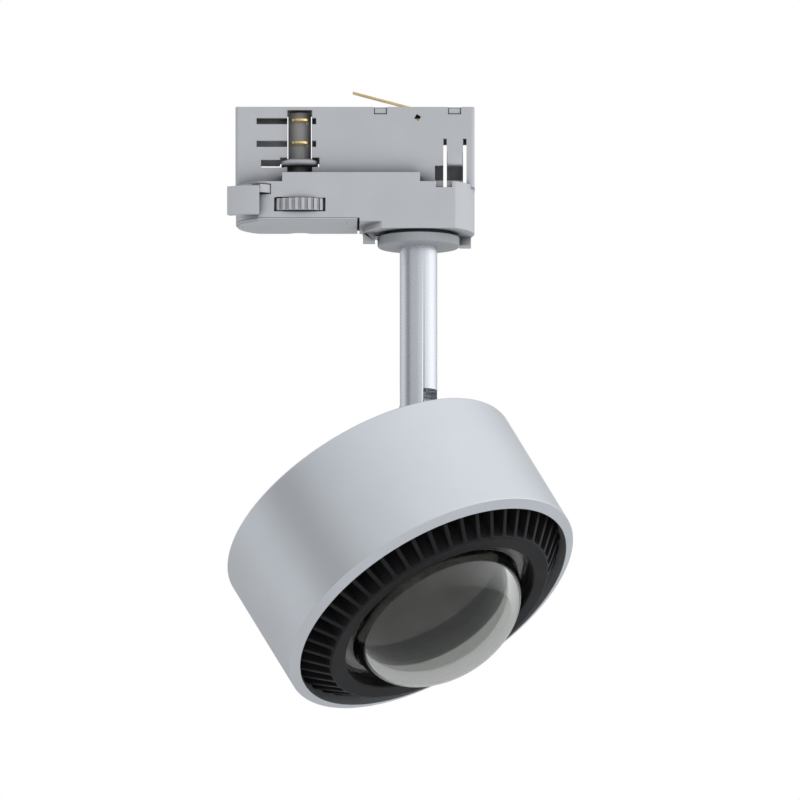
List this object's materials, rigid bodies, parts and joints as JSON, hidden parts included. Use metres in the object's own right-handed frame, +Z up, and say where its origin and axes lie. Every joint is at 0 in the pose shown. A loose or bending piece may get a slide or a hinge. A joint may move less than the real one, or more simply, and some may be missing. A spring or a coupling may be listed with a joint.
{
  "type": "track spotlight",
  "caption": "Track spotlight: drum head with a domed glass lens and cooling fins, tilting on a short stem that swivels under a three-circuit track adapter.",
  "frame": {"origin": "centre of the adapter's insert, in the plane of its lower ledge, which seats against the underside of the track", "axes": "+X along the track, towards the stem; +Z up, into the track; +Y to the back, away from the lock lever"},
  "size_m": [0.1477, 0.1481, 0.2605],
  "materials": {
    "adapter_plastic": "fine moulded texture, light grey",
    "shaft_plastic": "moulded, mid grey",
    "terminal_plastic": "moulded, off-white",
    "brass": "bright rolled",
    "steel": "zinc plated",
    "flange_paint": "moulded, light grey",
    "washer_plastic": "low-friction, black",
    "nylon": "natural nylon",
    "silver_paint": "satin silver powder coat",
    "stem_metal": "satin anodised",
    "black_metal": "matt black anodised",
    "black_screw": "black oxide",
    "glass": "clear polished",
    "gasket": "silicone",
    "reflector_metal": "bright anodised",
    "led_plastic": "moulded, black",
    "phosphor": "yellow phosphor under clear gel",
    "board": "white solder mask on aluminium",
    "driver_case": "moulded, white",
    "lead": "insulated wire, red"
  },
  "bodies": {
    "adapter": {"adapter_housing": "adapter_plastic", "adapter_lid": "adapter_plastic", "base_cover": "adapter_plastic", "base_screws": "steel", "terminal_block": "terminal_plastic", "terminal_screws": "steel", "bus_strips": "brass", "lever_pin": "steel", "earth_anchor": "brass"},
    "lever": {"lock_lever": "adapter_plastic"},
    "lock": {"lock_sleeve": "adapter_plastic"},
    "selector": {"selector_wheel": "adapter_plastic", "contact_shaft": "shaft_plastic", "line_contacts": "brass"},
    "earth": {"earth_contact": "brass"},
    "stem": {"bearing_washer": "washer_plastic", "swivel_flange": "flange_paint", "swivel_nipple": "steel", "friction_washer": "steel", "swivel_nut": "steel", "stem_tube": "stem_metal", "hinge_pin": "steel", "hinge_washers": "nylon"},
    "head": {"hinge_bracket": "stem_metal", "bracket_screws": "steel", "head_shell": "silver_paint", "back_cover": "silver_paint", "cover_screws": "black_screw", "heat_sink": "black_metal", "lens": "glass", "lens_gasket": "gasket", "lens_clamp_ring": "black_metal", "reflector": "reflector_metal", "led_holder": "led_plastic", "led_holder_screws": "steel", "led_emitter": "phosphor", "led_board": "board", "driver_module": "driver_case", "driver_screws": "steel", "driver_leads": "lead"}
  },
  "joints": [
    {"name": "stem_swivel", "type": "hinge", "parent": "adapter", "child": "stem", "pos_m": [0.0271, 0, -0.0218], "axis": [0, 0, 1], "range_deg": [-175, 175]},
    {"name": "head_tilt", "type": "hinge", "parent": "stem", "child": "head", "pos_m": [0.0271, 0, -0.0975], "axis": [-0.5878, -0.809, 0], "range_deg": [-35, 55]},
    {"name": "lever_turn", "type": "hinge", "parent": "adapter", "child": "lever", "pos_m": [-0.0428, 0, -0.0034], "axis": [0, 0, -1], "range_deg": [0, 90]},
    {"name": "lock_turn", "type": "hinge", "parent": "adapter", "child": "lock", "pos_m": [-0.0236, 0, 0], "axis": [0, 0, -1], "range_deg": [-90, 0]},
    {"name": "selector_turn", "type": "hinge", "parent": "adapter", "child": "selector", "pos_m": [-0.0236, 0, 0], "axis": [0, 0, -1], "range_deg": [0, 90]},
    {"name": "earth_press", "type": "hinge", "parent": "adapter", "child": "earth", "pos_m": [0.0245, 0, 0.03335], "axis": [0, -1, 0], "range_deg": [0, 14], "stiffness_Nm_per_rad": 0.2}
  ],
  "couplings": [
    {"joint": "lock_turn", "follows": "lever_turn", "ratio": -1}
  ]
}
